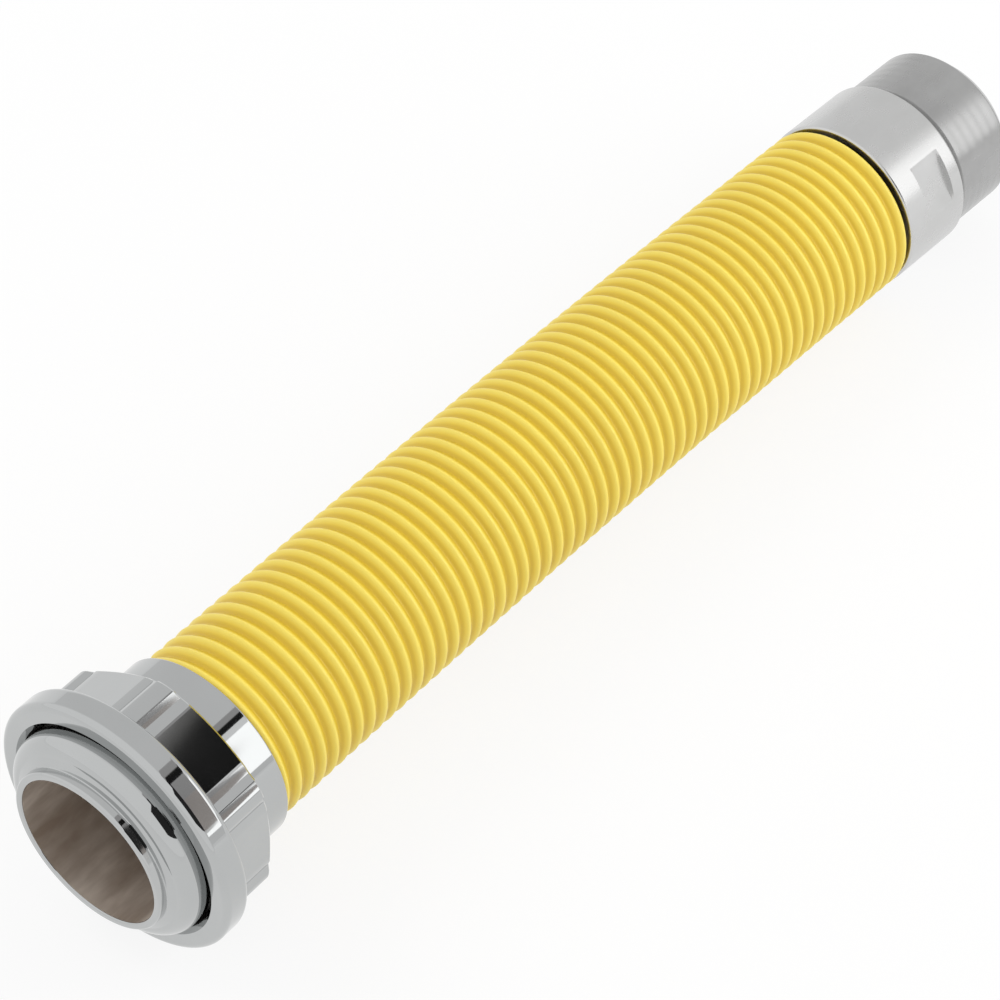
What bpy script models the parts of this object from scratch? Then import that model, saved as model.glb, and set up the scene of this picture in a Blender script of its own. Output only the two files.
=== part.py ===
"""Flexible gas meter hose with a loose hexagon nut at one end and a pipe thread at the other.

A corrugated steel bellows carries the gas. A ribbed yellow jacket covers it, and a turned
fitting is fixed on each end. The hose lies on its side: the round flange of the nut and
the edge of the threaded fitting touch the ground at z = 0. Its length runs along X, with
the nut at the low end of X. All sizes are in metres.
"""
import math

import bmesh
import bpy
from mathutils import Matrix, Vector

# Hose: the stretch between the two fittings, which lies in a slight bow
HOSE_LENGTH = 0.1775
BOW_SAGITTA = 0.00145
BOW_DIP_ANGLE = math.radians(16.6)
CREST_PITCH = 0.003173
FIRST_CREST = 0.0011

# Yellow jacket
JACKET_CREST_RADIUS = 0.0175
JACKET_RIB_HEIGHT = 0.0010
JACKET_WALL_IN_VALLEY = 0.0005
JACKET_CREST_WIDTH = 0.0014
JACKET_NEAR_GAP = 0.0003
JACKET_FAR_GAP = 0.0011
JACKET_SIDES = 20
JACKET_BORE_SEGMENTS = 9

# Steel bellows
BELLOWS_WAVE_HEIGHT = 0.0023
BELLOWS_WALL = 0.0004
BELLOWS_SIDES = 9
SOCKET_DEPTH = 0.0060
SEAT_GAP = 0.0003

# Collared tail at the meter end; heights run outwards from its hose face
TAIL_LENGTH = 0.0290
TAIL_SLEEVE_RADIUS = 0.0184
TAIL_BORE_RADIUS = 0.0147
LIP_RADIUS = 0.0161
LIP_HEIGHT = 0.0019
LIP_ROUNDING = 0.0004
SHOULDER_RADIUS = 0.0176
SHOULDER_DROP = 0.0005
COLLAR_RADIUS = 0.0205
COLLAR_CROWN_HEIGHT = 0.0027
COLLAR_SIDE_HEIGHT = 0.0022
TAIL_SIDES = 36

# Loose hexagon nut on the tail; heights run outwards from the same hose face
NUT_FRONT = 0.0229
NUT_LENGTH = 0.0161
NUT_FLANGE_RADIUS = 0.0253
NUT_FLANGE_THICKNESS = 0.0055
NUT_FLANGE_FRONT_ROUNDING = 0.0012
NUT_FLANGE_REAR_ROUNDING = 0.0012
NUT_HEXAGON_WIDTH = 0.0410
NUT_HEXAGON_ROUNDING = 0.0035
NUT_REAR_LAND_INSET = 0.0003
NUT_CHAMFER_ANGLE = math.radians(20.0)
NUT_HEXAGON_ANGLE = math.radians(-28.0)
NUT_SLEEVE_GAP = 0.0005
NUT_THREAD_RADIUS = 0.0210
NUT_MOUTH_RADIUS = 0.0218
NUT_THREAD_DEPTH = 0.0043
NUT_SIDES = 48

# Threaded fitting at the pipe end; heights run outwards from its hose face
SLEEVE_LENGTH = 0.0165
SLEEVE_RADIUS = 0.0176
SLEEVE_ROUNDING = 0.0005
FLAT_START = 0.0053
FLAT_LENGTH = 0.0080
FLATS_WIDTH = 0.0331
FLAT_ANGLE = math.radians(59.5)
THREAD_RADIUS = 0.016624
THREAD_LENGTH = 0.0172
THREAD_CHAMFER = 0.0023
UNDERCUT_DEPTH = 0.0009
UNDERCUT_LENGTH = 0.0014
PIPE_BORE_RADIUS = 0.01275
FITTING_SIDES = 36

# Allowances for the modelling itself
MERGE_DISTANCE = 0.00001
CUT_MARGIN = 0.002
SMOOTH_ANGLE = math.radians(35.0)

YELLOW = (0.83, 0.60, 0.09, 1.0)
CHROME = (0.72, 0.73, 0.74, 1.0)
PLATED_STEEL = (0.62, 0.62, 0.63, 1.0)
BARE_STEEL = (0.56, 0.56, 0.55, 1.0)


def clear_scene():
    """Removes every object, so the script can run twice."""
    for old in list(bpy.data.objects):
        bpy.data.objects.remove(old, do_unlink=True)


def new_collection(name):
    collection = bpy.data.collections.new(name)
    bpy.context.scene.collection.children.link(collection)
    return collection


def new_material(name, colour, roughness, metallic):
    material = bpy.data.materials.new(name)
    material.use_nodes = True
    shader = material.node_tree.nodes["Principled BSDF"]
    shader.inputs["Base Color"].default_value = colour
    shader.inputs["Roughness"].default_value = roughness
    shader.inputs["Metallic"].default_value = metallic
    return material


def new_object(name, mesh, collection, parent=None, material=None):
    thing = bpy.data.objects.new(name, mesh)
    collection.objects.link(thing)
    thing.parent = parent
    if material:
        mesh.materials.append(material)
    return thing


def new_empty(name, collection, matrix, parent=None):
    empty = new_object(name, None, collection, parent)
    empty.matrix_local = matrix
    return empty


def rounding(centre_radius, centre_height, size, start, end, segments=3):
    """Points of a quarter round or part of one, as (radius, height)."""
    points = []
    for step in range(segments + 1):
        angle = math.radians(start + (end - start) * step / segments)
        points.append((centre_radius + size * math.cos(angle),
                       centre_height + size * math.sin(angle)))
    return points


def turned(name, outline, sides, collection, parent=None, material=None):
    """Turns an outline of (radius, height) points about local Z.

    The outline runs down the outer side, and then back up the bore or ends on the axis. It
    starts half a facet round, so that a flat facet and not an edge lies on the ground.
    """
    half_facet = math.pi / sides
    points = [(radius * math.cos(half_facet), radius * math.sin(half_facet), height)
              for radius, height in outline]
    edges = [(index, index + 1) for index in range(len(points) - 1)]
    if outline[0][0] > 0.0:
        edges.append((len(points) - 1, 0))
    mesh = bpy.data.meshes.new(name)
    mesh.from_pydata(points, edges, [])
    thing = new_object(name, mesh, collection, parent, material)
    screw = thing.modifiers.new("turn", "SCREW")
    screw.axis = "Z"
    screw.angle = math.tau
    screw.steps = sides
    screw.render_steps = sides
    screw.use_merge_vertices = True
    screw.merge_threshold = MERGE_DISTANCE
    return thing


def combine(target, tool, operation):
    boolean = target.modifiers.new(f"{operation.lower()} {tool.name}", "BOOLEAN")
    boolean.operation = operation
    boolean.object = tool
    boolean.solver = "EXACT"


def mark_tool(tool):
    tool.hide_render = True
    tool.display_type = "WIRE"
    return tool


def settle(thing):
    """Turns a piece's modifiers into its mesh and shades its round surfaces smooth."""
    bpy.context.view_layer.update()
    graph = bpy.context.evaluated_depsgraph_get()
    mesh = bpy.data.meshes.new_from_object(thing.evaluated_get(graph))
    mesh.name = thing.name
    thing.modifiers.clear()
    thing.data = mesh
    mesh.shade_smooth()
    mesh.set_sharp_from_angle(angle=SMOOTH_ANGLE)
    return thing


def bow_frame(distance):
    """Matrix of the hose's centreline at a distance from its near end.

    Local Z runs along the hose and local X points up. The centreline is a circular arc
    over a chord on X, and the fittings carry on straight from its ends.
    """
    end_angle = 4.0 * BOW_SAGITTA / HOSE_LENGTH
    radius = HOSE_LENGTH / (2.0 * end_angle)
    on_arc = min(max(distance, 0.0), HOSE_LENGTH)
    heading = end_angle - on_arc / radius
    along = Vector((1.0, 0.0, 0.0))
    bulge = Vector((0.0, math.cos(BOW_DIP_ANGLE), -math.sin(BOW_DIP_ANGLE)))
    tangent = along * math.cos(heading) + bulge * math.sin(heading)
    point = along * radius * (math.sin(end_angle) - math.sin(heading))
    point += bulge * radius * (math.cos(heading) - math.cos(end_angle))
    point += tangent * (distance - on_arc)
    world_up = Vector((0.0, 0.0, 1.0))
    up = (world_up - tangent * world_up.dot(tangent)).normalized()
    frame = Matrix((up, tangent.cross(up), tangent)).transposed().to_4x4()
    frame.translation = point
    return frame


def resting_matrix():
    """Tips the hose until the nut's flange and the far sleeve's edge touch the ground."""
    flange_edge = NUT_FRONT - NUT_FLANGE_THICKNESS + NUT_FLANGE_REAR_ROUNDING
    near = bow_frame(-flange_edge).translation
    far = bow_frame(HOSE_LENGTH + SLEEVE_LENGTH - SLEEVE_ROUNDING).translation
    near_reach = NUT_FLANGE_RADIUS * math.cos(math.pi / NUT_SIDES)
    far_reach = SLEEVE_RADIUS * math.cos(math.pi / FITTING_SIDES)
    run = math.hypot(far.x - near.x, far.z - near.z)
    slope = math.atan2(near.z - far.z, far.x - near.x)
    tip = math.asin((near_reach - far_reach) / run)
    tilt = Matrix.Rotation(tip - slope, 4, "Y")
    first = tilt @ bow_frame(-TAIL_LENGTH).translation
    last = tilt @ bow_frame(HOSE_LENGTH + SLEEVE_LENGTH + THREAD_LENGTH).translation
    flange = tilt @ near
    shift = Vector((-(first.x + last.x) / 2.0, -flange.y, near_reach - flange.z))
    return Matrix.Translation(shift) @ tilt


def crest_places():
    """Distances of the corrugation's crests from the hose's near end."""
    places = []
    place = FIRST_CREST
    while place + CREST_PITCH / 2.0 < HOSE_LENGTH - JACKET_FAR_GAP:
        places.append(place)
        place += CREST_PITCH
    return places


def bow_along_hose(tube):
    """Bends a straight tube along the hose's centreline."""
    settle(tube)
    for vertex in tube.data.vertices:
        across = Vector((vertex.co.x, vertex.co.y, 0.0))
        vertex.co = bow_frame(vertex.co.z) @ across
    return tube


def jacket_bore_radius():
    return JACKET_CREST_RADIUS - JACKET_RIB_HEIGHT - JACKET_WALL_IN_VALLEY


def bellows_crest_radius():
    return jacket_bore_radius() * math.cos(math.pi / JACKET_SIDES) - SEAT_GAP


def cuff_radius():
    return bellows_crest_radius() - BELLOWS_WAVE_HEIGHT


def socket_radius():
    return cuff_radius() + SEAT_GAP


def build_jacket(collection, parent, material):
    """A sleeve with a flat-topped rib over each crest and a plain bore."""
    start = JACKET_NEAR_GAP
    end = HOSE_LENGTH - JACKET_FAR_GAP
    valley = JACKET_CREST_RADIUS - JACKET_RIB_HEIGHT
    half_crest = JACKET_CREST_WIDTH / 2.0
    ribs = [(valley, start)]
    for place in crest_places():
        ribs.append((JACKET_CREST_RADIUS, place - half_crest))
        ribs.append((JACKET_CREST_RADIUS, place + half_crest))
        ribs.append((valley, place + CREST_PITCH / 2.0))
    if end - ribs[-1][1] > MERGE_DISTANCE:
        ribs.append((valley, end))
    bore = jacket_bore_radius()
    step_length = (end - start) / JACKET_BORE_SEGMENTS
    lining = [(bore, start + step_length * step) for step in range(JACKET_BORE_SEGMENTS + 1)]
    outline = ribs[::-1] + lining
    jacket = turned("yellow_jacket", outline, JACKET_SIDES, collection, parent, material)
    return bow_along_hose(jacket)


def build_bellows(collection, parent, material):
    """A thin corrugated tube with a plain cuff in the socket of each fitting."""
    crest = bellows_crest_radius()
    cuff = cuff_radius()
    cuff_reach = SOCKET_DEPTH - SEAT_GAP
    waves = [(cuff, -cuff_reach), (cuff, JACKET_NEAR_GAP)]
    places = [place for place in crest_places() if place - CREST_PITCH / 2.0 > JACKET_NEAR_GAP]
    waves.append((cuff, places[0] - CREST_PITCH / 2.0))
    for place in places:
        waves.append((crest, place))
        waves.append((cuff, place + CREST_PITCH / 2.0))
    waves.append((cuff, HOSE_LENGTH + cuff_reach))
    inside = [(radius - BELLOWS_WALL, height) for radius, height in waves]
    outline = waves[::-1] + inside
    bellows = turned("steel_bellows", outline, BELLOWS_SIDES, collection, parent, material)
    return bow_along_hose(bellows)


def build_tail(collection, parent, material):
    """The fixed piece at the meter end: lip, domed collar, sleeve and hose socket."""
    lip_foot = TAIL_LENGTH - LIP_HEIGHT
    crown_top = lip_foot - SHOULDER_DROP
    collar_edge = crown_top - COLLAR_CROWN_HEIGHT
    collar_back = collar_edge - COLLAR_SIDE_HEIGHT
    crown_reach = COLLAR_RADIUS - SHOULDER_RADIUS
    outline = rounding(LIP_RADIUS - LIP_ROUNDING, TAIL_LENGTH - LIP_ROUNDING, LIP_ROUNDING,
                       90.0, 0.0, 2)
    outline.append((LIP_RADIUS, lip_foot))
    for radius, height in rounding(0.0, 0.0, 1.0, 90.0, 0.0, 4):
        outline.append((SHOULDER_RADIUS + crown_reach * radius,
                        collar_edge + COLLAR_CROWN_HEIGHT * height))
    outline.append((COLLAR_RADIUS, collar_back))
    outline.append((TAIL_SLEEVE_RADIUS, collar_back))
    outline.append((TAIL_SLEEVE_RADIUS, 0.0))
    outline.append((socket_radius(), 0.0))
    outline.append((socket_radius(), SOCKET_DEPTH))
    outline.append((TAIL_BORE_RADIUS, SOCKET_DEPTH))
    outline.append((TAIL_BORE_RADIUS, TAIL_LENGTH))
    return settle(turned("near_tail", outline, TAIL_SIDES, collection, parent, material))


def hexagon_prism(name, width, corner_rounding, bottom, top, collection, parent):
    """A six-sided prism with one flat facing local X and softly rounded long edges."""
    shape = bmesh.new()
    corner_radius = width / 2.0 / math.cos(math.pi / 6.0)
    bmesh.ops.create_cone(shape, cap_ends=True, segments=6, radius1=corner_radius,
                          radius2=corner_radius, depth=top - bottom)
    middle = Vector((0.0, 0.0, (bottom + top) / 2.0))
    bmesh.ops.translate(shape, vec=middle, verts=shape.verts)
    long_edges = [edge for edge in shape.edges
                  if abs(edge.verts[0].co.z - edge.verts[1].co.z) > MERGE_DISTANCE]
    first = long_edges[0].verts[0].co
    turn = math.radians(30.0) - math.atan2(first.y, first.x)
    bmesh.ops.rotate(shape, cent=(0.0, 0.0, 0.0), matrix=Matrix.Rotation(turn, 3, "Z"),
                     verts=shape.verts)
    setback = corner_rounding * math.tan(math.pi / 6.0)
    bmesh.ops.bevel(shape, geom=long_edges, offset=setback, offset_type="OFFSET",
                    segments=4, profile=0.5, affect="EDGES")
    mesh = bpy.data.meshes.new(name)
    shape.to_mesh(mesh)
    shape.free()
    return new_object(name, mesh, collection, parent)


def build_nut(collection, tools, parent, material):
    """A round flange round the thread, with a hexagon behind it, all bored through."""
    nut_back = NUT_FRONT - NUT_LENGTH
    flange_back = NUT_FRONT - NUT_FLANGE_THICKNESS
    thread_bottom = NUT_FRONT - NUT_THREAD_DEPTH
    sleeve_bore = TAIL_SLEEVE_RADIUS + NUT_SLEEVE_GAP
    mouth_chamfer = NUT_MOUTH_RADIUS - NUT_THREAD_RADIUS

    flange = [(0.0, NUT_FRONT)]
    flange += rounding(NUT_FLANGE_RADIUS - NUT_FLANGE_FRONT_ROUNDING,
                       NUT_FRONT - NUT_FLANGE_FRONT_ROUNDING,
                       NUT_FLANGE_FRONT_ROUNDING, 90.0, 0.0)
    flange += rounding(NUT_FLANGE_RADIUS - NUT_FLANGE_REAR_ROUNDING,
                       flange_back + NUT_FLANGE_REAR_ROUNDING,
                       NUT_FLANGE_REAR_ROUNDING, 0.0, -90.0, 2)
    flange.append((0.0, flange_back))
    nut = turned("swivel_nut", flange, NUT_SIDES, collection, parent, material)

    hexagon = mark_tool(hexagon_prism("nut_hexagon", NUT_HEXAGON_WIDTH, NUT_HEXAGON_ROUNDING,
                                      nut_back, (flange_back + NUT_FRONT) / 2.0,
                                      tools, parent))
    hexagon.rotation_euler = (0.0, 0.0, NUT_HEXAGON_ANGLE)
    wide = NUT_HEXAGON_WIDTH / 2.0 / math.cos(math.pi / 6.0) + CUT_MARGIN
    land = NUT_HEXAGON_WIDTH / 2.0 - NUT_REAR_LAND_INSET
    steepness = math.tan(NUT_CHAMFER_ANGLE)
    cone = [(0.0, NUT_FRONT),
            (wide, NUT_FRONT),
            (wide, nut_back + (wide - land) * steepness),
            (land - CUT_MARGIN, nut_back - CUT_MARGIN * steepness),
            (0.0, nut_back - CUT_MARGIN * steepness)]
    combine(hexagon, mark_tool(turned("nut_chamfer", cone, NUT_SIDES, tools, parent)),
            "INTERSECT")
    combine(nut, hexagon, "UNION")

    bore = [(0.0, NUT_FRONT + CUT_MARGIN),
            (NUT_MOUTH_RADIUS + CUT_MARGIN, NUT_FRONT + CUT_MARGIN),
            (NUT_THREAD_RADIUS, NUT_FRONT - mouth_chamfer),
            (NUT_THREAD_RADIUS, thread_bottom),
            (sleeve_bore, thread_bottom),
            (sleeve_bore, nut_back - CUT_MARGIN),
            (0.0, nut_back - CUT_MARGIN)]
    combine(nut, mark_tool(turned("nut_bore", bore, NUT_SIDES, tools, parent)), "DIFFERENCE")
    return settle(nut)


def build_far_fitting(collection, tools, parent, material):
    """Sleeve with two wrench flats, an undercut and the plain body of the pipe thread."""
    thread_end = SLEEVE_LENGTH + THREAD_LENGTH
    outline = [(THREAD_RADIUS - THREAD_CHAMFER, thread_end)]
    outline.append((THREAD_RADIUS, thread_end - THREAD_CHAMFER))
    outline.append((THREAD_RADIUS, SLEEVE_LENGTH + UNDERCUT_LENGTH))
    outline.append((THREAD_RADIUS - UNDERCUT_DEPTH, SLEEVE_LENGTH + UNDERCUT_LENGTH / 2.0))
    outline.append((THREAD_RADIUS - UNDERCUT_DEPTH, SLEEVE_LENGTH))
    outline += rounding(SLEEVE_RADIUS - SLEEVE_ROUNDING, SLEEVE_LENGTH - SLEEVE_ROUNDING,
                        SLEEVE_ROUNDING, 90.0, 0.0, 2)
    outline += rounding(SLEEVE_RADIUS - SLEEVE_ROUNDING, SLEEVE_ROUNDING,
                        SLEEVE_ROUNDING, 0.0, -90.0, 2)
    outline.append((socket_radius(), 0.0))
    outline.append((socket_radius(), SOCKET_DEPTH))
    outline.append((PIPE_BORE_RADIUS, SOCKET_DEPTH))
    outline.append((PIPE_BORE_RADIUS, thread_end))
    fitting = turned("far_fitting", outline, FITTING_SIDES, collection, parent, material)
    for index, side in enumerate((1.0, -1.0)):
        shape = bmesh.new()
        bmesh.ops.create_cube(shape, size=1.0)
        mesh = bpy.data.meshes.new(f"wrench_flat_{index + 1}")
        shape.to_mesh(mesh)
        shape.free()
        depth = SLEEVE_RADIUS - FLATS_WIDTH / 2.0 + CUT_MARGIN
        mesh.transform(Matrix.Diagonal((depth, 2.0 * SLEEVE_RADIUS, FLAT_LENGTH, 1.0)))
        cutter = mark_tool(new_object(mesh.name, mesh, tools, parent))
        centre = side * (FLATS_WIDTH / 2.0 + depth / 2.0)
        cutter.location = (centre * math.cos(FLAT_ANGLE), centre * math.sin(FLAT_ANGLE),
                           FLAT_START + FLAT_LENGTH / 2.0)
        cutter.rotation_euler = (0.0, 0.0, FLAT_ANGLE)
        combine(fitting, cutter, "DIFFERENCE")
    return settle(fitting)


def main():
    clear_scene()
    parts = new_collection("flexible_meter_hose")
    tools = new_collection("cutters")
    hose = new_empty("hose", parts, resting_matrix())
    outwards = Matrix.Rotation(math.pi, 4, "X")
    near_end = new_empty("near_end", parts, bow_frame(0.0) @ outwards, hose)
    far_end = new_empty("far_end", parts, bow_frame(HOSE_LENGTH), hose)

    chrome = new_material("chrome", CHROME, 0.06, 1.0)
    build_tail(parts, near_end, chrome)
    build_nut(parts, tools, near_end, new_material("chrome_nut", CHROME, 0.06, 1.0))
    build_bellows(parts, hose, new_material("bellows_steel", BARE_STEEL, 0.35, 1.0))
    build_jacket(parts, hose, new_material("yellow_plastic", YELLOW, 0.42, 0.0))
    build_far_fitting(parts, tools, far_end, new_material("plated", PLATED_STEEL, 0.3, 1.0))


main()
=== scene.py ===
import math

import bmesh
import bpy
from mathutils import Matrix, Vector


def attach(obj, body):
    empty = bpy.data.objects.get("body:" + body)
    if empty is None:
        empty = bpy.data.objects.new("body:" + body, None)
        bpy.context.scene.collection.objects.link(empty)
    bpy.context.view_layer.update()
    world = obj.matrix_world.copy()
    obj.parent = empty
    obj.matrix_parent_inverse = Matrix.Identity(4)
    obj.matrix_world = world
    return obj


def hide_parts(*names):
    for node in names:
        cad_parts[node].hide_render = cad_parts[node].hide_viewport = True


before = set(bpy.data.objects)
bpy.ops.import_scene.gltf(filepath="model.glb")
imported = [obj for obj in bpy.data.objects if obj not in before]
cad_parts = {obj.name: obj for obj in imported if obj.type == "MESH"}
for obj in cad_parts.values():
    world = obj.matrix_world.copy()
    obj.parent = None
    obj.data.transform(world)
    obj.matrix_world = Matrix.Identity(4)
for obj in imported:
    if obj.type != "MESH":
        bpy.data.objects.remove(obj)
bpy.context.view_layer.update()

# Sizes of the solids, in metres, as the part's source has them
HOSE_LENGTH = 0.1775
BOW_SAGITTA = 0.00145
BOW_DIP_ANGLE = math.radians(16.6)
CREST_PITCH = 0.003173
FIRST_CREST = 0.0011
JACKET_CREST_RADIUS = 0.0175
JACKET_RIB_HEIGHT = 0.0010
JACKET_BORE_RADIUS = 0.0160
JACKET_NEAR_GAP = 0.0003
JACKET_FAR_GAP = 0.0011
BELLOWS_CREST_RADIUS = 0.0155
BELLOWS_CUFF_RADIUS = 0.0132
BELLOWS_WALL = 0.0004
SOCKET_DEPTH = 0.0060
SOCKET_RADIUS = 0.0135
SEAT_GAP = 0.0003

TAIL_LENGTH = 0.0290
TAIL_SLEEVE_RADIUS = 0.0184
TAIL_BORE_RADIUS = 0.0147
LIP_RADIUS = 0.0161
LIP_HEIGHT = 0.0019
SHOULDER_RADIUS = 0.0176
SHOULDER_DROP = 0.0005
COLLAR_RADIUS = 0.0205
COLLAR_CROWN_HEIGHT = 0.0027
COLLAR_SIDE_HEIGHT = 0.0022

NUT_FRONT = 0.0229
NUT_LENGTH = 0.0161
NUT_FLANGE_RADIUS = 0.0253
NUT_FLANGE_THICKNESS = 0.0055
NUT_FLANGE_ROUNDING = 0.0012
NUT_HEXAGON_WIDTH = 0.0410
NUT_HEXAGON_ROUNDING = 0.0035
NUT_REAR_LAND_INSET = 0.0003
NUT_CHAMFER_ANGLE = math.radians(20.0)
NUT_HEXAGON_ANGLE = math.radians(-28.0)
NUT_SLEEVE_RADIUS = 0.0189
NUT_THREAD_RADIUS = 0.0210
NUT_MOUTH_RADIUS = 0.0218
NUT_THREAD_DEPTH = 0.0043

SLEEVE_LENGTH = 0.0165
SLEEVE_RADIUS = 0.0176
FLAT_START = 0.0053
FLAT_LENGTH = 0.0080
FLATS_WIDTH = 0.0331
FLAT_ANGLE = math.radians(59.5)
THREAD_RADIUS = 0.016624
THREAD_LENGTH = 0.0172
THREAD_CHAMFER = 0.0023
UNDERCUT_DEPTH = 0.0009
UNDERCUT_LENGTH = 0.0014
PIPE_BORE_RADIUS = 0.01275

# Sides of the faceted solids that lie on the ground: they set how low the pieces reach
NUT_SIDES = 48
FITTING_SIDES = 36

# Fine form that only the scene has
TURNED_SIDES = 144
JACKET_SIDES = 96
BELLOWS_SIDES = 48
JACKET_ROWS_PER_RIB = 12
JACKET_LINING_ROWS = 36
JACKET_RIB_RELIEF = 0.00004
JACKET_BORE_EASE = 0.0001
BELLOWS_ROWS_PER_WAVE = 8
BORE_ROWS = 12
LIP_ROUNDING = 0.0004
LIP_FOOT_FILLET = 0.0002
COLLAR_BACK_ROUNDING = 0.0003
COLLAR_FOOT_FILLET = 0.0004
TAIL_END_ROUNDING = 0.0003
TAIL_MOUTH_ROUNDING = 0.0003
NUT_FOOT_FILLET = 0.0004
NUT_CORNER_BEVEL = 0.00025
NUT_BORE_CHAMFER = 0.0003
NUT_THREAD_RIDGE = 0.0004
NUT_THREAD_ROWS = 22
SLEEVE_ROUNDING = 0.0005
FLAT_WALL_RUN = 0.0002
THREAD_PITCH = 0.002309
THREAD_RIDGE = 0.00003
THREAD_FADE = 0.001
THREAD_ROWS = 74
PIPE_MOUTH_CHAMFER = 0.0005
SHARP_ANGLE = math.radians(32.0)
MERGE_DISTANCE = 0.000001
HOLD_DISTANCE = 0.00008

# Where the lamps hang: a plane 0.8 m from the nut, with its own axes across and up
LAMP_CENTRE = Vector((0.29111, -0.59163, 0.39253))
LAMP_ACROSS = Vector((0.83378, 0.55210, 0.0))
LAMP_UP = Vector((-0.25405, 0.38367, 0.88784))
LAMP_TILT = math.radians(20.4)
LAMP_EDGE = (0.022, 0.103)
KEY_MIDDLE = (0.21, -0.1025)
KEY_SIZE = (0.42, 0.635)
KEY_RADIANCE = 3.2
FILL_PLACE = (-0.20, 0.62, 0.75)
FILL_TARGET = (0.0, 0.0, 0.02)
FILL_SIZE = (0.7, 0.5)
FILL_RADIANCE = 2.2

# Lines between the cards in that plane, across and up from its edge
DARK_END = -0.022
EDGE_END = 0.012
SOFTBOX_MIDDLE = 0.20
SOFTBOX_END = 0.42
EDGE_FOOT = -0.33
EDGE_BREAK = 0.02
SOFTBOX_BREAK = 0.13
CARD_TOP = 0.225
ABOVE_LEFT = -0.25
ABOVE_RIGHT = 0.17
CARD_GAP = 0.01

# Strength of the room: for matt surfaces, and for mirrors towards each end of the hose
ROOM_MATT = 0.75
ROOM_MIRROR_NEAR = 1.05
ROOM_MIRROR_FAR = 0.84
ROOM_TURN = (0.10, 0.40)
FLOOR_SIZE = 8.0
FLOOR_TONE = 0.90
FLOOR_WHITE_SHARE = 0.85

# Camera, at the photo's place and angle
CAMERA_LENS = 126.0
CAMERA_SENSOR = 36.0
CAMERA_PLACE = (-0.324476, -0.264457, 0.498157)
CAMERA_RIGHT = Vector((0.650671, -0.759360, 0.0))
CAMERA_DOWN = Vector((-0.577773, -0.495075, -0.648906))
CAMERA_FORWARD = Vector((0.492753, 0.422224, -0.760869))


# Places along the hose

def bow_frame(distance):
    """Matrix of the hose's centreline at a distance from its near end."""
    end_angle = 4.0 * BOW_SAGITTA / HOSE_LENGTH
    radius = HOSE_LENGTH / (2.0 * end_angle)
    on_arc = min(max(distance, 0.0), HOSE_LENGTH)
    heading = end_angle - on_arc / radius
    along = Vector((1.0, 0.0, 0.0))
    bulge = Vector((0.0, math.cos(BOW_DIP_ANGLE), -math.sin(BOW_DIP_ANGLE)))
    tangent = along * math.cos(heading) + bulge * math.sin(heading)
    point = along * radius * (math.sin(end_angle) - math.sin(heading))
    point += bulge * radius * (math.cos(heading) - math.cos(end_angle))
    point += tangent * (distance - on_arc)
    world_up = Vector((0.0, 0.0, 1.0))
    up = (world_up - tangent * world_up.dot(tangent)).normalized()
    matrix = Matrix((up, tangent.cross(up), tangent)).transposed().to_4x4()
    matrix.translation = point
    return matrix


def resting_matrix():
    """Tips the hose until its two low edges touch the ground, as the solids lie."""
    near = bow_frame(-(NUT_FRONT - NUT_FLANGE_THICKNESS + NUT_FLANGE_ROUNDING)).translation
    far = bow_frame(HOSE_LENGTH + SLEEVE_LENGTH - SLEEVE_ROUNDING).translation
    near_reach = NUT_FLANGE_RADIUS * math.cos(math.pi / NUT_SIDES)
    far_reach = SLEEVE_RADIUS * math.cos(math.pi / FITTING_SIDES)
    run = math.hypot(far.x - near.x, far.z - near.z)
    slope = math.atan2(near.z - far.z, far.x - near.x)
    tip = math.asin((near_reach - far_reach) / run)
    tilt = Matrix.Rotation(tip - slope, 4, "Y")
    first = tilt @ bow_frame(-TAIL_LENGTH).translation
    last = tilt @ bow_frame(HOSE_LENGTH + SLEEVE_LENGTH + THREAD_LENGTH).translation
    flange = tilt @ near
    shift = Vector((-(first.x + last.x) / 2.0, -flange.y, near_reach - flange.z))
    return Matrix.Translation(shift) @ tilt


REST = resting_matrix()
NEAR_END = REST @ bow_frame(0.0) @ Matrix.Rotation(math.pi, 4, "X")
FAR_END = REST @ bow_frame(HOSE_LENGTH)


def on_hose(height):
    return REST @ bow_frame(height)


def on_near_end(height):
    return NEAR_END @ Matrix.Translation((0.0, 0.0, height))


def on_far_end(height):
    return FAR_END @ Matrix.Translation((0.0, 0.0, height))


# Meshes

def even_angles(count):
    return [math.tau * step / count for step in range(count)]


def arc(centre_radius, centre_height, size, start, end, segments=5):
    points = []
    for step in range(segments + 1):
        angle = math.radians(start + (end - start) * step / segments)
        points.append((centre_radius + size * math.cos(angle),
                       centre_height + size * math.sin(angle)))
    return points


def row_at(row, angle):
    return row(angle) if callable(row) else row


def between_rows(first, second, share):
    """The row at a share of the way from one row to the next."""
    def row(angle):
        start = row_at(first, angle)
        end = row_at(second, angle)
        return (start[0] + (end[0] - start[0]) * share, start[1] + (end[1] - start[1]) * share)
    return row


def held_rows(rows):
    """Rows with their numbers, and one more beside each end of a long band.

    The rows beside the ends keep a straight band's smooth shading straight.
    """
    numbered = []
    for number, row in enumerate(rows):
        following = rows[(number + 1) % len(rows)]
        gap = math.dist(row_at(row, 0.0), row_at(following, 0.0))
        numbered.append((number, row))
        if gap > 8.0 * HOLD_DISTANCE:
            share = HOLD_DISTANCE / gap
            numbered.append((number, between_rows(row, following, share)))
            numbered.append((number, between_rows(row, following, 1.0 - share)))
    return numbered


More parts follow.
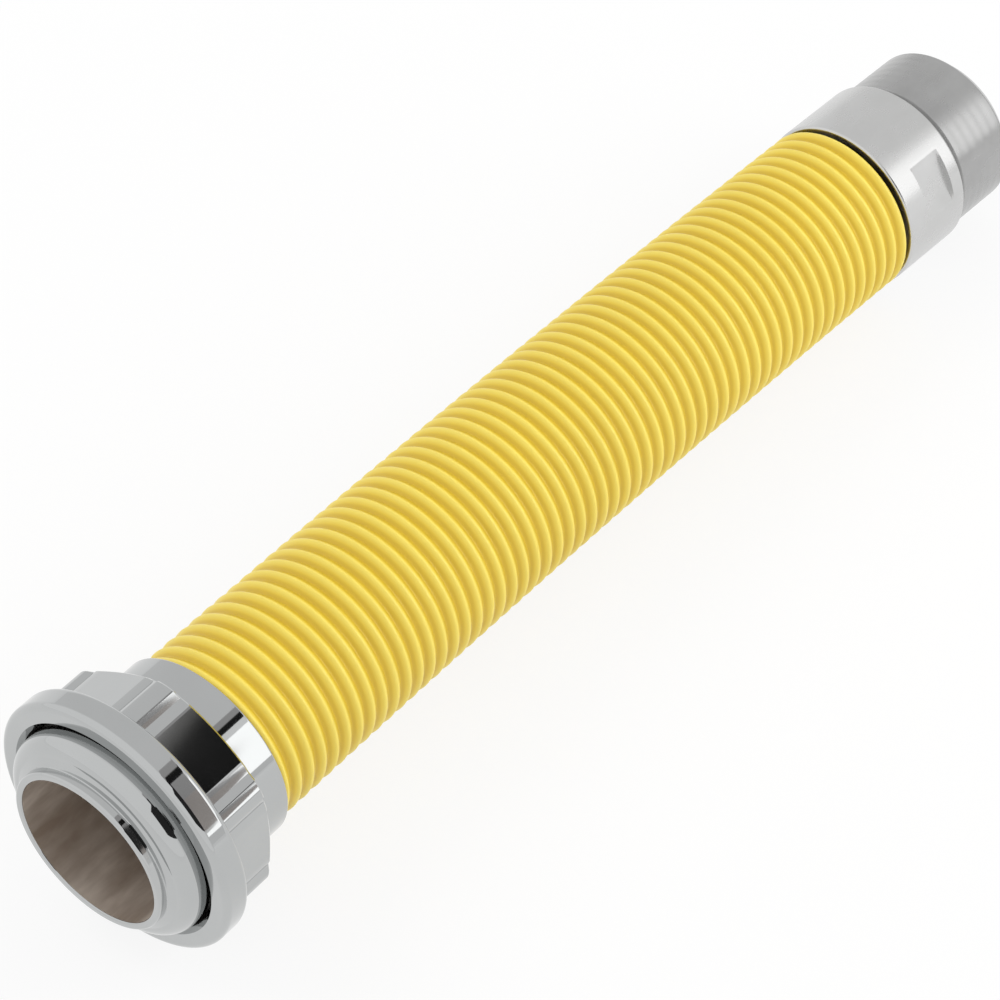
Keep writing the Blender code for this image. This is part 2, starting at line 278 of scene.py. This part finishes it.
def ring_piece(name, rows, angles, place, body, node, inside=range(0)):
    """A closed ring of quads: rows run down the outside and back up the bore.

    A row is (radius, height) or a function of the angle that gives them. Faces after the
    rows numbered in inside take the second material. Each point keeps its radius, in
    millimetres, for the materials.
    """
    mesh = bpy.data.meshes.new(name)
    shape = bmesh.new()
    radius_layer = shape.verts.layers.float.new("radius")
    grid = []
    numbered = held_rows(rows)
    for number, row in numbered:
        ring = []
        for angle in angles:
            radius, height = row_at(row, angle)
            matrix = place(height)
            offset = Vector((radius * math.cos(angle), radius * math.sin(angle), 0.0))
            corner = shape.verts.new(matrix @ offset)
            corner[radius_layer] = radius * 1000.0
            ring.append(corner)
        grid.append(ring)
    count = len(angles)
    total = len(grid)
    for index in range(total):
        upper = grid[index]
        lower = grid[(index + 1) % total]
        for step in range(count):
            following = (step + 1) % count
            face = shape.faces.new((upper[step], lower[step],
                                    lower[following], upper[following]))
            if numbered[index][0] in inside:
                face.material_index = 1
    bmesh.ops.remove_doubles(shape, verts=shape.verts, dist=MERGE_DISTANCE)
    bmesh.ops.recalc_face_normals(shape, faces=shape.faces)
    shape.to_mesh(mesh)
    shape.free()
    mesh.shade_smooth()
    mesh.set_sharp_from_angle(angle=SHARP_ANGLE)
    piece = bpy.data.objects.new(name, mesh)
    bpy.context.scene.collection.objects.link(piece)
    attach(piece, body)
    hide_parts(node)
    return piece


def jacket_radius(distance):
    turn = (distance - FIRST_CREST) / CREST_PITCH
    wave = 0.5 + 0.5 * math.cos(math.tau * turn)
    valley = JACKET_CREST_RADIUS - JACKET_RIB_HEIGHT
    return valley + (JACKET_RIB_HEIGHT - JACKET_RIB_RELIEF) * wave


def build_jacket():
    start = JACKET_NEAR_GAP
    end = HOSE_LENGTH - JACKET_FAR_GAP
    steps = int(round((end - start) / CREST_PITCH * JACKET_ROWS_PER_RIB))
    rows = [(JACKET_BORE_RADIUS + JACKET_BORE_EASE, end)]
    for step in range(steps, -1, -1):
        distance = start + (end - start) * step / steps
        rows.append((jacket_radius(distance), distance))
    rows.append((JACKET_BORE_RADIUS + JACKET_BORE_EASE, start))
    for step in range(1, JACKET_LINING_ROWS):
        rows.append((JACKET_BORE_RADIUS, start + (end - start) * step / JACKET_LINING_ROWS))
    return ring_piece("jacket_ribbed", rows, even_angles(JACKET_SIDES), on_hose,
                      "hose", "yellow_jacket")


def bellows_radius(distance):
    turn = (distance - FIRST_CREST) / CREST_PITCH
    wave = 0.5 + 0.5 * math.cos(math.tau * turn)
    return BELLOWS_CUFF_RADIUS + (BELLOWS_CREST_RADIUS - BELLOWS_CUFF_RADIUS) * wave


def build_bellows():
    reach = SOCKET_DEPTH - SEAT_GAP
    first = FIRST_CREST + CREST_PITCH / 2.0
    waves = int((HOSE_LENGTH - JACKET_FAR_GAP - first) / CREST_PITCH)
    last = first + waves * CREST_PITCH
    steps = waves * BELLOWS_ROWS_PER_WAVE
    outer = [(BELLOWS_CUFF_RADIUS, HOSE_LENGTH + reach)]
    for step in range(steps, -1, -1):
        distance = first + (last - first) * step / steps
        outer.append((bellows_radius(distance), distance))
    outer.append((BELLOWS_CUFF_RADIUS, -reach))
    inner = [(radius - BELLOWS_WALL, height) for radius, height in reversed(outer)]
    return ring_piece("bellows_formed", outer + inner, even_angles(BELLOWS_SIDES), on_hose,
                      "hose", "steel_bellows")


def build_tail():
    lip_foot = TAIL_LENGTH - LIP_HEIGHT
    crown_top = lip_foot - SHOULDER_DROP
    collar_edge = crown_top - COLLAR_CROWN_HEIGHT
    collar_back = collar_edge - COLLAR_SIDE_HEIGHT
    crown_reach = COLLAR_RADIUS - SHOULDER_RADIUS
    rows = arc(LIP_RADIUS - LIP_ROUNDING, TAIL_LENGTH - LIP_ROUNDING, LIP_ROUNDING,
               90.0, 0.0, 4)
    rows.append((LIP_RADIUS, lip_foot + LIP_FOOT_FILLET))
    rows += arc(LIP_RADIUS + LIP_FOOT_FILLET, lip_foot + LIP_FOOT_FILLET, LIP_FOOT_FILLET,
                180.0, 270.0, 2)
    for radius, height in arc(0.0, 0.0, 1.0, 90.0, 0.0, 12):
        rows.append((SHOULDER_RADIUS + crown_reach * radius,
                     collar_edge + COLLAR_CROWN_HEIGHT * height))
    rows += arc(COLLAR_RADIUS - COLLAR_BACK_ROUNDING, collar_back + COLLAR_BACK_ROUNDING,
                COLLAR_BACK_ROUNDING, 0.0, -90.0, 3)
    rows += arc(TAIL_SLEEVE_RADIUS + COLLAR_FOOT_FILLET, collar_back - COLLAR_FOOT_FILLET,
                COLLAR_FOOT_FILLET, 90.0, 180.0, 3)
    rows += arc(TAIL_SLEEVE_RADIUS - TAIL_END_ROUNDING, TAIL_END_ROUNDING, TAIL_END_ROUNDING,
                0.0, -90.0, 3)
    first_inside = len(rows) - 1
    rows.append((SOCKET_RADIUS, 0.0))
    rows.append((SOCKET_RADIUS, SOCKET_DEPTH))
    rows.append((TAIL_BORE_RADIUS, SOCKET_DEPTH))
    mouth_foot = TAIL_LENGTH - TAIL_MOUTH_ROUNDING
    for step in range(1, BORE_ROWS):
        rows.append((TAIL_BORE_RADIUS,
                     SOCKET_DEPTH + (mouth_foot - SOCKET_DEPTH) * step / BORE_ROWS))
    mouth = len(rows)
    rows += arc(TAIL_BORE_RADIUS + TAIL_MOUTH_ROUNDING, mouth_foot, TAIL_MOUTH_ROUNDING,
                180.0, 90.0, 3)
    return ring_piece("tail_turned", rows, even_angles(TURNED_SIDES), on_near_end,
                      "hose", "near_tail", range(first_inside, mouth))


def hexagon_angles():
    """Angles of one turn of the nut: close together round each corner."""
    centre = (NUT_HEXAGON_WIDTH / 2.0 - NUT_HEXAGON_ROUNDING) / math.cos(math.radians(30.0))
    corner = []
    for step in range(-6, 7):
        turn = math.radians(5.0 * step)
        side = NUT_HEXAGON_ROUNDING * math.sin(turn)
        corner.append(30.0 + math.degrees(math.atan2(
            side, centre + NUT_HEXAGON_ROUNDING * math.cos(turn))))
    flat_end = corner[0] - 0.25
    flat = [flat_end * step / 8.0 for step in range(-8, 9)]
    sector = flat + corner
    turn = []
    for side in range(6):
        turn += [math.radians(60.0 * side + angle) + NUT_HEXAGON_ANGLE for angle in sector]
    return turn


def hexagon_radius(angle):
    within = (angle - NUT_HEXAGON_ANGLE + math.radians(30.0)) % math.radians(60.0)
    within = abs(within - math.radians(30.0))
    flat = NUT_HEXAGON_WIDTH / 2.0 / math.cos(within)
    centre = (NUT_HEXAGON_WIDTH / 2.0 - NUT_HEXAGON_ROUNDING) / math.cos(math.radians(30.0))
    off = math.radians(30.0) - within
    under = NUT_HEXAGON_ROUNDING ** 2 - (centre * math.sin(off)) ** 2
    if under <= 0.0:
        return flat
    return min(flat, centre * math.cos(off) + math.sqrt(under))


def build_nut():
    back = NUT_FRONT - NUT_LENGTH
    flange_back = NUT_FRONT - NUT_FLANGE_THICKNESS
    bottom = NUT_FRONT - NUT_THREAD_DEPTH
    land = NUT_HEXAGON_WIDTH / 2.0 - NUT_REAR_LAND_INSET
    steepness = math.tan(NUT_CHAMFER_ANGLE)
    fillet = NUT_FOOT_FILLET
    bevel = NUT_CORNER_BEVEL

    def chamfer_top(angle):
        return back + (hexagon_radius(angle) - land) * steepness

    def corner(share):
        def row(angle):
            radius = hexagon_radius(angle)
            height = chamfer_top(angle) - bevel * steepness * (1.0 - share) + bevel * share
            return radius - bevel * (1.0 - share), height
        return row

    def foot(degrees):
        turn = math.radians(degrees)

        def row(angle):
            return (hexagon_radius(angle) + fillet - fillet * math.cos(turn),
                    flange_back - fillet + fillet * math.sin(turn))
        return row

    rows = [(NUT_MOUTH_RADIUS, NUT_FRONT)]
    rows += arc(NUT_FLANGE_RADIUS - NUT_FLANGE_ROUNDING, NUT_FRONT - NUT_FLANGE_ROUNDING,
                NUT_FLANGE_ROUNDING, 90.0, 0.0, 8)
    rows += arc(NUT_FLANGE_RADIUS - NUT_FLANGE_ROUNDING, flange_back + NUT_FLANGE_ROUNDING,
                NUT_FLANGE_ROUNDING, 0.0, -90.0, 8)
    rows += [foot(90.0), foot(60.0), foot(30.0), foot(0.0)]
    rows += [corner(1.0), corner(0.5), corner(0.0)]
    rows.append((land, back))
    rows.append((NUT_SLEEVE_RADIUS + NUT_BORE_CHAMFER, back))
    rows.append((NUT_SLEEVE_RADIUS, back + NUT_BORE_CHAMFER))
    first_inside = len(rows) - 1
    rows.append((NUT_SLEEVE_RADIUS, bottom))
    rows.append((NUT_THREAD_RADIUS, bottom))
    thread_top = NUT_FRONT - (NUT_MOUTH_RADIUS - NUT_THREAD_RADIUS)

    def cut(height):
        share = (height - bottom) / (thread_top - bottom)
        fade = min(1.0, share * 6.0, (1.0 - share) * 4.0)

        def row(angle):
            wave = 0.5 + 0.5 * math.cos(math.tau * height / THREAD_PITCH - angle)
            return NUT_THREAD_RADIUS - NUT_THREAD_RIDGE * fade * wave, height
        return row

    for step in range(1, NUT_THREAD_ROWS):
        rows.append(cut(bottom + (thread_top - bottom) * step / NUT_THREAD_ROWS))
    rows.append((NUT_THREAD_RADIUS, thread_top))
    return ring_piece("nut_turned", rows, hexagon_angles(), on_near_end,
                      "nut", "swivel_nut", range(first_inside, len(rows) - 1))


def flat_radius(angle):
    """Sleeve radius with the two wrench flats cut in."""
    within = (angle - FLAT_ANGLE) % math.pi
    within = min(within, math.pi - within)
    if within >= math.pi / 3.0:
        return SLEEVE_RADIUS
    return min(SLEEVE_RADIUS, FLATS_WIDTH / 2.0 / math.cos(within))


def build_far_fitting():
    end = SLEEVE_LENGTH + THREAD_LENGTH
    flat_end = FLAT_START + FLAT_LENGTH
    root = THREAD_RADIUS - UNDERCUT_DEPTH
    crest_end = end - THREAD_CHAMFER
    thread_start = SLEEVE_LENGTH + UNDERCUT_LENGTH

    def ridge(height):
        def row(angle):
            wave = 0.5 - 0.5 * math.cos(math.tau * height / THREAD_PITCH - angle)
            fade = min(1.0, (height - thread_start) / THREAD_FADE)
            radius = THREAD_RADIUS - THREAD_RIDGE * wave * fade
            cone = THREAD_RADIUS - max(0.0, height - crest_end)
            return min(radius, cone), height
        return row

    rows = [(THREAD_RADIUS - THREAD_CHAMFER, end)]
    for step in range(1, THREAD_ROWS):
        rows.append(ridge(end + (thread_start - end) * step / THREAD_ROWS))
    rows.append((THREAD_RADIUS, thread_start))
    rows.append((root, thread_start - UNDERCUT_LENGTH / 2.0))
    rows.append((root, SLEEVE_LENGTH))
    thread_rows = len(rows) - 1
    rows += arc(SLEEVE_RADIUS - SLEEVE_ROUNDING, SLEEVE_LENGTH - SLEEVE_ROUNDING,
                SLEEVE_ROUNDING, 90.0, 0.0, 5)

    def full(height):
        return lambda angle: (SLEEVE_RADIUS, height)

    def flat(height):
        return lambda angle: (flat_radius(angle), height)

    rows += [full(flat_end), flat(flat_end - FLAT_WALL_RUN),
             flat(FLAT_START + FLAT_WALL_RUN), full(FLAT_START)]
    rows += arc(SLEEVE_RADIUS - SLEEVE_ROUNDING, SLEEVE_ROUNDING, SLEEVE_ROUNDING,
                0.0, -90.0, 5)
    rows.append((SOCKET_RADIUS, 0.0))
    rows.append((SOCKET_RADIUS, SOCKET_DEPTH))
    rows.append((PIPE_BORE_RADIUS, SOCKET_DEPTH))
    mouth_foot = end - PIPE_MOUTH_CHAMFER
    for step in range(1, BORE_ROWS):
        rows.append((PIPE_BORE_RADIUS,
                     SOCKET_DEPTH + (mouth_foot - SOCKET_DEPTH) * step / BORE_ROWS))
    rows += [(PIPE_BORE_RADIUS, mouth_foot), (PIPE_BORE_RADIUS + PIPE_MOUTH_CHAMFER, end)]
    reach = math.acos(FLATS_WIDTH / 2.0 / SLEEVE_RADIUS)
    angles = even_angles(TURNED_SIDES)
    for side in (0.0, math.pi):
        for edge in (-reach, reach):
            angles.append((FLAT_ANGLE + side + edge) % math.tau)
    return ring_piece("far_fitting_turned", rows, sorted(angles), on_far_end,
                      "hose", "far_fitting", range(thread_rows))


# Materials

class Surface:
    """A material's nodes, made and joined by name."""

    def __init__(self, name):
        self.material = bpy.data.materials.new(name)
        self.material.use_nodes = True
        self.tree = self.material.node_tree
        self.shader = self.tree.nodes["Principled BSDF"]
        self.place = self.tree.nodes.new("ShaderNodeTexCoord").outputs["Object"]

    def set(self, **values):
        for name, value in values.items():
            self.shader.inputs[name.replace("_", " ")].default_value = value
        return self

    def node(self, kind, **settings):
        node = self.tree.nodes.new(kind)
        for name, value in settings.items():
            setattr(node, name, value)
        return node

    def join(self, source, target):
        self.tree.links.new(source, target)

    def noise(self, scale, detail=3.0, stretch=(1.0, 1.0, 1.0), roughness=0.5):
        mapping = self.node("ShaderNodeMapping")
        mapping.inputs["Scale"].default_value = stretch
        self.join(self.place, mapping.inputs["Vector"])
        noise = self.node("ShaderNodeTexNoise")
        noise.inputs["Scale"].default_value = scale
        noise.inputs["Detail"].default_value = detail
        noise.inputs["Roughness"].default_value = roughness
        self.join(mapping.outputs["Vector"], noise.inputs["Vector"])
        return noise.outputs["Fac"]

    def ramp(self, factor, stops):
        ramp = self.node("ShaderNodeValToRGB")
        elements = ramp.color_ramp.elements
        while len(elements) < len(stops):
            elements.new(0.5)
        for element, (position, colour) in zip(elements, stops):
            element.position = position
            element.color = (*colour, 1.0)
        self.join(factor, ramp.inputs["Fac"])
        return ramp.outputs["Color"]

    def span(self, factor, low, high):
        span = self.node("ShaderNodeMapRange")
        span.inputs["From Min"].default_value = 0.3
        span.inputs["From Max"].default_value = 0.7
        span.inputs["To Min"].default_value = low
        span.inputs["To Max"].default_value = high
        self.join(factor, span.inputs["Value"])
        return span.outputs["Result"]

    def colour(self, output):
        self.join(output, self.shader.inputs["Base Color"])
        return self

    def roughness(self, output):
        self.join(output, self.shader.inputs["Roughness"])
        return self

    def bump(self, height, strength, distance):
        bump = self.node("ShaderNodeBump")
        bump.inputs["Strength"].default_value = strength
        bump.inputs["Distance"].default_value = distance
        self.join(height, bump.inputs["Height"])
        self.join(bump.outputs["Normal"], self.shader.inputs["Normal"])
        return self


def chrome_material(name):
    surface = Surface(name).set(Metallic=1.0)
    cloud = surface.noise(60.0, 4.0)
    surface.colour(surface.ramp(cloud, [(0.3, (0.465, 0.475, 0.475)), (0.7, (0.49, 0.50, 0.50))]))
    surface.roughness(surface.span(cloud, 0.035, 0.06))
    surface.bump(surface.noise(150.0, 2.0), 0.03, 0.00003)
    return surface.material


def nut_thread_material():
    surface = Surface("nut_thread_dull").set(Metallic=0.8)
    streaks = surface.noise(240.0, 3.0, (0.4, 1.0, 1.0), 0.6)
    surface.colour(surface.ramp(streaks, [(0.3, (0.10, 0.095, 0.09)),
                                          (0.7, (0.20, 0.19, 0.18))]))
    surface.roughness(surface.span(streaks, 0.35, 0.5))
    return surface.material


def bore_material():
    surface = Surface("bore_satin").set(Metallic=0.45)
    streaks = surface.noise(140.0, 4.0, (0.3, 1.0, 1.0), 0.6)
    surface.colour(surface.ramp(streaks, [(0.34, (0.38, 0.305, 0.245)),
                                          (0.50, (0.52, 0.445, 0.38)),
                                          (0.66, (0.72, 0.64, 0.56))]))
    surface.roughness(surface.span(streaks, 0.42, 0.56))
    surface.bump(surface.noise(900.0, 2.0, (2.0, 0.5, 0.5)), 0.15, 0.00004)
    return surface.material


def bellows_material():
    surface = Surface("bellows_bare_steel").set(Metallic=1.0)
    cloud = surface.noise(180.0, 4.0)
    surface.colour(surface.ramp(cloud, [(0.3, (0.36, 0.35, 0.33)), (0.7, (0.50, 0.49, 0.47))]))
    surface.roughness(surface.span(cloud, 0.25, 0.40))
    surface.bump(surface.noise(800.0, 3.0, (3.0, 0.6, 0.6)), 0.1, 0.00004)
    return surface.material


def jacket_material():
    surface = Surface("jacket_yellow_plastic").set(Specular_IOR_Level=0.50)
    # Painted shade and highlight: by each point's radius, the yellow runs from dark gold in the
    # valleys between the ribs to pale yellow on the crests
    radius = surface.node("ShaderNodeAttribute", attribute_name="radius").outputs["Fac"]
    rise = surface.node("ShaderNodeMapRange", interpolation_type="SMOOTHSTEP")
    rise.inputs["From Min"].default_value = 1000.0 * (JACKET_CREST_RADIUS - JACKET_RIB_HEIGHT)
    rise.inputs["From Max"].default_value = 1000.0 * JACKET_CREST_RADIUS
    surface.join(radius, rise.inputs["Value"])
    painted_groove_shade = surface.ramp(rise.outputs["Result"], [(0.0, (0.66, 0.45, 0.022)),
                                                   (0.45, (0.83, 0.62, 0.060)),
                                                   (1.0, (0.90, 0.72, 0.120))])
    cloud = surface.ramp(surface.noise(45.0, 4.0), [(0.25, (0.95, 0.94, 0.90)),
                                                    (0.75, (1.0, 1.0, 1.0))])
    blend = surface.node("ShaderNodeMix", data_type="RGBA", blend_type="MULTIPLY")
    blend.inputs[0].default_value = 1.0
    surface.join(painted_groove_shade, blend.inputs[6])
    surface.join(cloud, blend.inputs[7])
    surface.colour(blend.outputs[2])
    surface.roughness(surface.span(surface.noise(160.0, 3.0), 0.32, 0.44))
    surface.bump(surface.noise(1400.0, 3.0), 0.08, 0.00004)
    return surface.material


def fitting_material(name, low, high):
    surface = Surface(name).set(Metallic=1.0)
    cloud = surface.noise(120.0, 5.0, (0.6, 1.0, 1.0), 0.6)
    surface.colour(surface.ramp(cloud, [(0.3, (low, low, low * 0.99)),
                                        (0.7, (high, high, high * 0.995))]))
    surface.roughness(surface.span(cloud, 0.22, 0.32))
    surface.bump(surface.noise(300.0, 2.0, (0.6, 1.0, 1.0)), 0.01, 0.00005)
    return surface.material


# Stage

def stage_plane(name, size, matrix, material):
    mesh = bpy.data.meshes.new(name)
    x, y = size[0] / 2.0, size[1] / 2.0
    mesh.from_pydata([(-x, -y, 0.0), (x, -y, 0.0), (x, y, 0.0), (-x, y, 0.0)], [],
                     [(0, 1, 2, 3)])
    mesh.materials.append(material)
    plane = bpy.data.objects.new(name, mesh)
    plane.matrix_world = matrix
    bpy.context.scene.collection.objects.link(plane)
    return plane


def facing(place, target):
    """Matrix at a place with local -Z towards the target."""
    direction = Vector(target) - Vector(place)
    return Matrix.Translation(place) @ direction.to_track_quat("-Z", "Y").to_matrix().to_4x4()


def any_ray(make, join, kinds):
    """1 for a ray of any of the kinds, such as Is Camera Ray."""
    path = make("ShaderNodeLightPath")
    found = path.outputs[kinds[0]]
    for kind in kinds[1:]:
        either = make("ShaderNodeMath")
        either.operation = "MAXIMUM"
        join(found, either.inputs[0])
        join(path.outputs[kind], either.inputs[1])
        found = either.outputs[0]
    return found


def build_stage():
    """A matt floor that the camera, mirrors and glass see as nearly white."""
    floor = Surface("floor_white").set(Roughness=0.9, Specular_IOR_Level=0.0)
    floor.set(Base_Color=(FLOOR_TONE, FLOOR_TONE, FLOOR_TONE, 1.0))
    share = floor.node("ShaderNodeMath", operation="MULTIPLY")
    share.inputs[1].default_value = FLOOR_WHITE_SHARE
    white = floor.node("ShaderNodeEmission")
    white.inputs["Strength"].default_value = 1.0
    mix = floor.node("ShaderNodeMixShader")
    seen = any_ray(floor.node, floor.join,
                   ["Is Camera Ray", "Is Glossy Ray", "Is Transmission Ray"])
    floor.join(seen, share.inputs[0])
    floor.join(share.outputs[0], mix.inputs[0])
    floor.join(floor.shader.outputs[0], mix.inputs[1])
    floor.join(white.outputs[0], mix.inputs[2])
    floor.join(mix.outputs[0], floor.tree.nodes["Material Output"].inputs["Surface"])
    stage_plane("floor", (FLOOR_SIZE, FLOOR_SIZE), Matrix.Identity(4), floor.material)


def lamp_place(across, up, nearer=0.0):
    """Matrix in the lamp plane, measured from the front lamp's left edge and along it."""
    outwards = LAMP_ACROSS.cross(LAMP_UP)
    side = LAMP_ACROSS * math.cos(LAMP_TILT) - LAMP_UP * math.sin(LAMP_TILT)
    rise = LAMP_ACROSS * math.sin(LAMP_TILT) + LAMP_UP * math.cos(LAMP_TILT)
    place = LAMP_CENTRE + LAMP_ACROSS * LAMP_EDGE[0] + LAMP_UP * LAMP_EDGE[1]
    place += side * across + rise * up - outwards * nearer
    matrix = Matrix((side, rise, outwards)).transposed().to_4x4()
    matrix.translation = place
    return matrix


def card(name, low, high, colour):
    """A card in the lamp plane that only mirrors show."""
    surface = Surface(name)
    surface.set(Base_Color=(0.0, 0.0, 0.0, 1.0), Specular_IOR_Level=0.0, Roughness=1.0)
    surface.set(Emission_Color=(*colour, 1.0), Emission_Strength=1.0)
    middle = ((low[0] + high[0]) / 2.0, (low[1] + high[1]) / 2.0)
    size = (high[0] - low[0], high[1] - low[1])
    plane = stage_plane(name, size, lamp_place(*middle, nearer=CARD_GAP), surface.material)
    plane.visible_camera = False
    plane.visible_diffuse = False
    plane.visible_shadow = False
    plane.visible_transmission = False


def area_light(name, matrix, size, radiance):
    light = bpy.data.lights.new(name, "AREA")
    light.shape = "RECTANGLE"
    light.size = size[0]
    light.size_y = size[1]
    light.energy = radiance * math.pi * size[0] * size[1]
    thing = bpy.data.objects.new(name, light)
    thing.matrix_world = matrix
    bpy.context.scene.collection.objects.link(thing)
    return thing


def build_lights():
    key = area_light("key", lamp_place(*KEY_MIDDLE), KEY_SIZE, KEY_RADIANCE)
    key.visible_glossy = False
    fill = area_light("fill", facing(FILL_PLACE, FILL_TARGET), FILL_SIZE, FILL_RADIANCE)
    fill.visible_glossy = False
    card("card_softbox", (EDGE_END, -0.42), (SOFTBOX_MIDDLE, SOFTBOX_BREAK), (1.98, 1.98, 1.98))
    card("card_softbox_far", (SOFTBOX_MIDDLE, -0.31), (SOFTBOX_END, SOFTBOX_BREAK),
         (1.60, 1.60, 1.60))
    card("card_softbox_top", (EDGE_END, SOFTBOX_BREAK), (SOFTBOX_MIDDLE, CARD_TOP),
         (1.05, 1.05, 1.05))
    card("card_softbox_far_top", (SOFTBOX_MIDDLE, SOFTBOX_BREAK), (SOFTBOX_END, 0.27),
         (1.05, 1.05, 1.05))
    card("card_above", (ABOVE_LEFT, CARD_TOP), (ABOVE_RIGHT, 0.314), (0.015, 0.015, 0.015))
    card("card_higher", (ABOVE_LEFT, 0.314), (ABOVE_RIGHT, 0.322), (0.16, 0.155, 0.15))
    card("card_highest", (ABOVE_LEFT, 0.322), (ABOVE_RIGHT, 0.43), (0.46, 0.45, 0.45))
    card("card_edge_foot", (DARK_END, -0.46), (EDGE_END, EDGE_FOOT), (0.82, 0.81, 0.80))
    card("card_edge", (DARK_END, EDGE_FOOT), (EDGE_END, EDGE_BREAK), (0.46, 0.42, 0.40))
    card("card_edge_top", (DARK_END, EDGE_BREAK), (EDGE_END, CARD_TOP), (0.42, 0.41, 0.41))
    card("card_left", (-1.00, EDGE_FOOT), (DARK_END, CARD_TOP), (0.03, 0.03, 0.03))

    world = bpy.data.worlds.new("studio")
    bpy.context.scene.world = world
    world.use_nodes = True
    tree = world.node_tree
    tree.nodes.clear()

    def node(kind):
        return tree.nodes.new(kind)

    output = node("ShaderNodeOutputWorld")
    direction = node("ShaderNodeTexCoord")
    split = node("ShaderNodeSeparateXYZ")
    sides = node("ShaderNodeMapRange")
    sides.interpolation_type = "SMOOTHSTEP"
    sides.inputs["From Min"].default_value = ROOM_TURN[0]
    sides.inputs["From Max"].default_value = ROOM_TURN[1]
    sides.inputs["To Min"].default_value = ROOM_MIRROR_NEAR
    sides.inputs["To Max"].default_value = ROOM_MIRROR_FAR
    level = node("ShaderNodeMix")
    level.inputs[2].default_value = ROOM_MATT
    room = node("ShaderNodeBackground")
    room.inputs["Color"].default_value = (1.0, 1.0, 1.0, 1.0)
    backdrop = node("ShaderNodeBackground")
    backdrop.inputs["Color"].default_value = (1.0, 1.0, 1.0, 1.0)
    backdrop.inputs["Strength"].default_value = 1.0
    mix = node("ShaderNodeMixShader")
    tree.links.new(direction.outputs["Generated"], split.inputs["Vector"])
    tree.links.new(split.outputs["X"], sides.inputs["Value"])
    mirrored = any_ray(node, tree.links.new, ["Is Glossy Ray"])
    tree.links.new(mirrored, level.inputs[0])
    tree.links.new(sides.outputs["Result"], level.inputs[3])
    tree.links.new(level.outputs[0], room.inputs["Strength"])
    seen = any_ray(node, tree.links.new, ["Is Camera Ray", "Is Transmission Ray"])
    tree.links.new(seen, mix.inputs[0])
    tree.links.new(room.outputs[0], mix.inputs[1])
    tree.links.new(backdrop.outputs[0], mix.inputs[2])
    tree.links.new(mix.outputs[0], output.inputs[0])


def build_camera():
    data = bpy.data.cameras.new("camera")
    data.lens = CAMERA_LENS
    data.sensor_width = CAMERA_SENSOR
    data.clip_start = 0.01
    data.clip_end = 50.0
    camera = bpy.data.objects.new("camera", data)
    matrix = Matrix((CAMERA_RIGHT, -CAMERA_DOWN, -CAMERA_FORWARD)).transposed().to_4x4()
    matrix.translation = CAMERA_PLACE
    camera.matrix_world = matrix
    bpy.context.scene.collection.objects.link(camera)
    bpy.context.scene.camera = camera


def main():
    jacket = build_jacket()
    jacket.data.materials.append(jacket_material())
    bellows = build_bellows()
    bellows.data.materials.append(bellows_material())
    tail = build_tail()
    tail.data.materials.append(chrome_material("tail_bright_chrome"))
    tail.data.materials.append(bore_material())
    nut = build_nut()
    nut.data.materials.append(chrome_material("nut_bright_chrome"))
    nut.data.materials.append(nut_thread_material())
    fitting = build_far_fitting()
    fitting.data.materials.append(fitting_material("far_sleeve_satin_steel", 0.58, 0.63))
    fitting.data.materials.append(fitting_material("far_thread_dull_steel", 0.38, 0.45))

    build_stage()
    build_lights()
    build_camera()
    bpy.context.scene.view_settings.view_transform = "Standard"


main()
